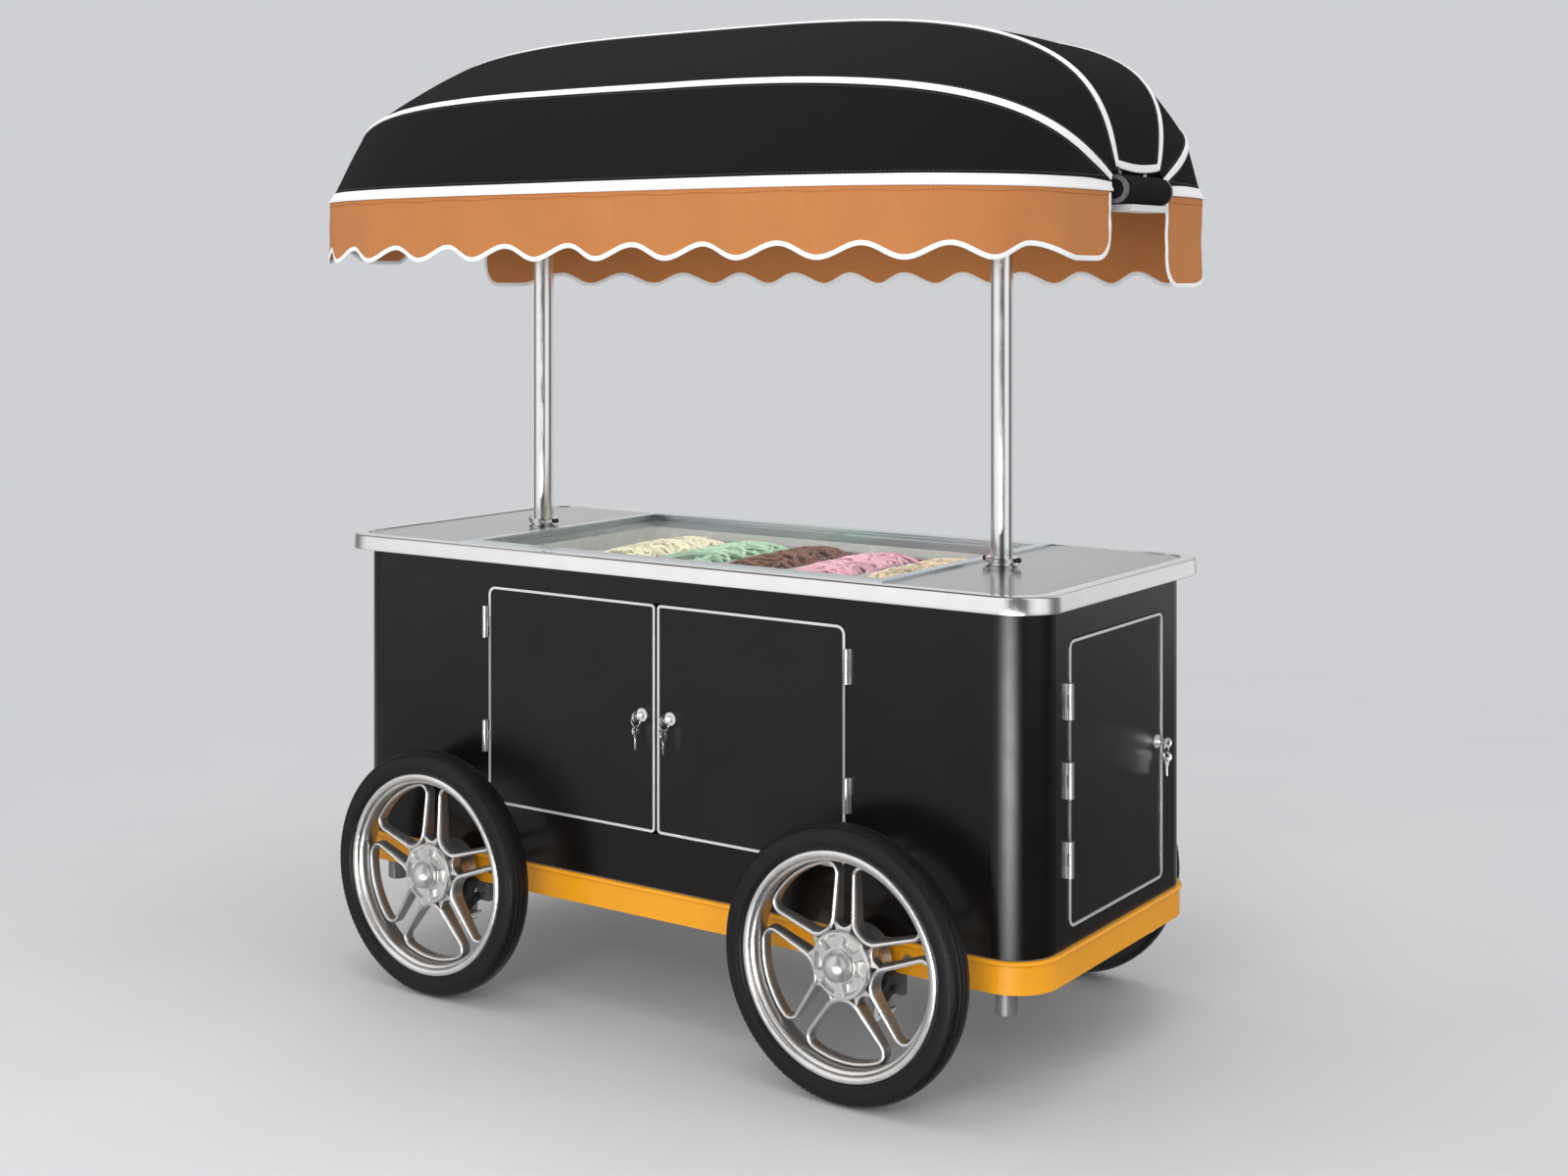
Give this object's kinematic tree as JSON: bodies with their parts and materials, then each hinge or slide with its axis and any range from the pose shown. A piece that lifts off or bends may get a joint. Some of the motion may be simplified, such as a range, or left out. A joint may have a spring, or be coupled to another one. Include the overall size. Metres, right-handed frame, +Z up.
{
  "type": "ice cream push cart",
  "caption": "Ice cream push cart: cabinet with hinged doors on spoked braked wheels, sliding glass over ice cream pans in a cold well, and a bowed cloth canopy on posts.",
  "frame": {"origin": "on the floor under the middle of the cart", "axes": "+Z up, front with the two doors faces -Y, the end with the single door faces +X"},
  "size_m": [1.8, 1.2316, 1.978],
  "materials": {
    "tyre_rubber": "matt black rubber",
    "polished_alloy": "polished",
    "chrome": "polished",
    "black_steel": "satin black",
    "steel": "plain",
    "bronze": "machined",
    "grey_steel": "satin grey",
    "skirt_paint": "satin",
    "body_laminate": "satin",
    "aluminium": "mill finish",
    "foam": "rigid foam, matt",
    "stainless": "satin",
    "cold_plate": "matt",
    "bright_aluminium": "bright",
    "frame_aluminium": "satin anodised",
    "clear_glass": "clear",
    "vanilla": "creamy, matt",
    "mint": "creamy, matt",
    "chocolate": "creamy, matt",
    "strawberry": "creamy, matt",
    "peach": "creamy, matt",
    "canopy_cloth": "woven",
    "valance_cloth": "woven"
  },
  "bodies": {
    "cart": {"axle_caps": "chrome", "axles": "steel", "axle_bushes": "bronze", "axle_blocks": "grey_steel", "chassis_frame": "grey_steel", "chassis_skirt": "skirt_paint", "chassis_bolts": "steel", "cabinet_shell": "body_laminate", "cabinet_floor": "aluminium", "well_insulation": "foam", "cold_well": "stainless", "cold_plates": "cold_plate", "counter_rim": "bright_aluminium", "counter_sheet": "stainless", "display_frame": "frame_aluminium", "gelato_pans": "stainless", "ice_cream_vanilla": "vanilla", "ice_cream_mint": "mint", "ice_cream_chocolate": "chocolate", "ice_cream_strawberry": "strawberry", "ice_cream_peach": "peach", "hinge_bases": "stainless", "post_collars": "chrome"},
    "canopy": {"post_left": "chrome", "post_right": "chrome", "canopy_ridge": "aluminium", "canopy_bows": "aluminium", "canopy_cover": "canopy_cloth", "valance_front": "valance_cloth", "valance_back": "valance_cloth"},
    "wheel_front_left": {"tyre_front_left": "tyre_rubber", "wheel_front_left": "polished_alloy"},
    "foot_front_left": {"foot_front_left": "chrome"},
    "brake_front_left": {"brake_front_left": "black_steel"},
    "wheel_front_right": {"tyre_front_right": "tyre_rubber", "wheel_front_right": "polished_alloy"},
    "foot_front_right": {"foot_front_right": "chrome"},
    "brake_front_right": {"brake_front_right": "black_steel"},
    "wheel_back_left": {"tyre_back_left": "tyre_rubber", "wheel_back_left": "polished_alloy"},
    "foot_back_left": {"foot_back_left": "chrome"},
    "brake_back_left": {"brake_back_left": "black_steel"},
    "wheel_back_right": {"tyre_back_right": "tyre_rubber", "wheel_back_right": "polished_alloy"},
    "foot_back_right": {"foot_back_right": "chrome"},
    "brake_back_right": {"brake_back_right": "black_steel"},
    "door_left": {"door_left_panel": "body_laminate", "door_left_fittings": "stainless"},
    "lock_left": {"lock_left": "chrome"},
    "spare_key_left": {"spare_key_left": "chrome"},
    "glass_left": {"glass_left": "clear_glass"},
    "door_right": {"door_right_panel": "body_laminate", "door_right_fittings": "stainless"},
    "lock_right": {"lock_right": "chrome"},
    "spare_key_right": {"spare_key_right": "chrome"},
    "glass_right": {"glass_right": "clear_glass"},
    "door_end": {"door_end_panel": "body_laminate", "door_end_fittings": "stainless"},
    "lock_end": {"lock_end": "chrome"},
    "spare_key_end": {"spare_key_end": "chrome"}
  },
  "joints": [
    {"name": "spin_front_left", "type": "hinge", "parent": "cart", "child": "wheel_front_left", "pos_m": [-0.507, -0.44, 0.25], "axis": [0, 1, 0], "continuous": true},
    {"name": "foot_drop_front_left", "type": "slide", "parent": "cart", "child": "foot_front_left", "axis": [0, 0, -1], "range_m": [0, 0.165]},
    {"name": "brake_release_front_left", "type": "hinge", "parent": "cart", "child": "brake_front_left", "pos_m": [-0.467, -0.372, 0.184], "axis": [0, 1, 0], "range_deg": [0, 6]},
    {"name": "spin_front_right", "type": "hinge", "parent": "cart", "child": "wheel_front_right", "pos_m": [0.507, -0.44, 0.25], "axis": [0, 1, 0], "continuous": true},
    {"name": "foot_drop_front_right", "type": "slide", "parent": "cart", "child": "foot_front_right", "axis": [0, 0, -1], "range_m": [0, 0.165]},
    {"name": "brake_release_front_right", "type": "hinge", "parent": "cart", "child": "brake_front_right", "pos_m": [0.547, -0.372, 0.184], "axis": [0, 1, 0], "range_deg": [0, 6]},
    {"name": "spin_back_left", "type": "hinge", "parent": "cart", "child": "wheel_back_left", "pos_m": [-0.507, 0.44, 0.25], "axis": [0, 1, 0], "continuous": true},
    {"name": "foot_drop_back_left", "type": "slide", "parent": "cart", "child": "foot_back_left", "axis": [0, 0, -1], "range_m": [0, 0.165]},
    {"name": "brake_release_back_left", "type": "hinge", "parent": "cart", "child": "brake_back_left", "pos_m": [-0.467, 0.372, 0.184], "axis": [0, 1, 0], "range_deg": [0, 6]},
    {"name": "spin_back_right", "type": "hinge", "parent": "cart", "child": "wheel_back_right", "pos_m": [0.507, 0.44, 0.25], "axis": [0, 1, 0], "continuous": true},
    {"name": "foot_drop_back_right", "type": "slide", "parent": "cart", "child": "foot_back_right", "axis": [0, 0, -1], "range_m": [0, 0.165]},
    {"name": "brake_release_back_right", "type": "hinge", "parent": "cart", "child": "brake_back_right", "pos_m": [0.547, 0.372, 0.184], "axis": [0, 1, 0], "range_deg": [0, 6]},
    {"name": "door_left_swing", "type": "hinge", "parent": "cart", "child": "door_left", "pos_m": [-0.449, -0.3425, 0.641], "axis": [0, 0, -1], "range_deg": [0, 28]},
    {"name": "lock_left_turn", "type": "hinge", "parent": "door_left", "child": "lock_left", "pos_m": [-0.035, -0.336, 0.613], "axis": [0, 1, 0], "range_deg": [0, 90]},
    {"name": "spare_key_left_swing", "type": "hinge", "parent": "lock_left", "child": "spare_key_left", "pos_m": [-0.035, -0.358, 0.613], "axis": [0, 1, 0], "range_deg": [-25, 25]},
    {"name": "glass_left_slide", "type": "slide", "parent": "cart", "child": "glass_left", "axis": [1, 0, 0], "range_m": [0, 0.489]},
    {"name": "door_right_swing", "type": "hinge", "parent": "cart", "child": "door_right", "pos_m": [0.449, -0.3425, 0.641], "axis": [0, 0, 1], "range_deg": [0, 28]},
    {"name": "lock_right_turn", "type": "hinge", "parent": "door_right", "child": "lock_right", "pos_m": [0.035, -0.336, 0.613], "axis": [0, -1, 0], "range_deg": [0, 90]},
    {"name": "spare_key_right_swing", "type": "hinge", "parent": "lock_right", "child": "spare_key_right", "pos_m": [0.035, -0.358, 0.613], "axis": [0, 1, 0], "range_deg": [-25, 25]},
    {"name": "glass_right_slide", "type": "slide", "parent": "cart", "child": "glass_right", "axis": [-1, 0, 0], "range_m": [0, 0.489]},
    {"name": "door_end_swing", "type": "hinge", "parent": "cart", "child": "door_end", "pos_m": [0.8385, -0.204, 0.5665], "axis": [0, 0, -1], "range_deg": [0, 135]},
    {"name": "lock_end_turn", "type": "hinge", "parent": "door_end", "child": "lock_end", "pos_m": [0.832, 0.173, 0.577], "axis": [-1, 0, 0], "range_deg": [0, 90]},
    {"name": "spare_key_end_swing", "type": "hinge", "parent": "lock_end", "child": "spare_key_end", "pos_m": [0.854, 0.173, 0.577], "axis": [1, 0, 0], "range_deg": [-25, 25]},
    {"name": "canopy_lift", "type": "slide", "parent": "cart", "child": "canopy", "axis": [0, 0, 1], "range_m": [0, 0.14]}
  ]
}
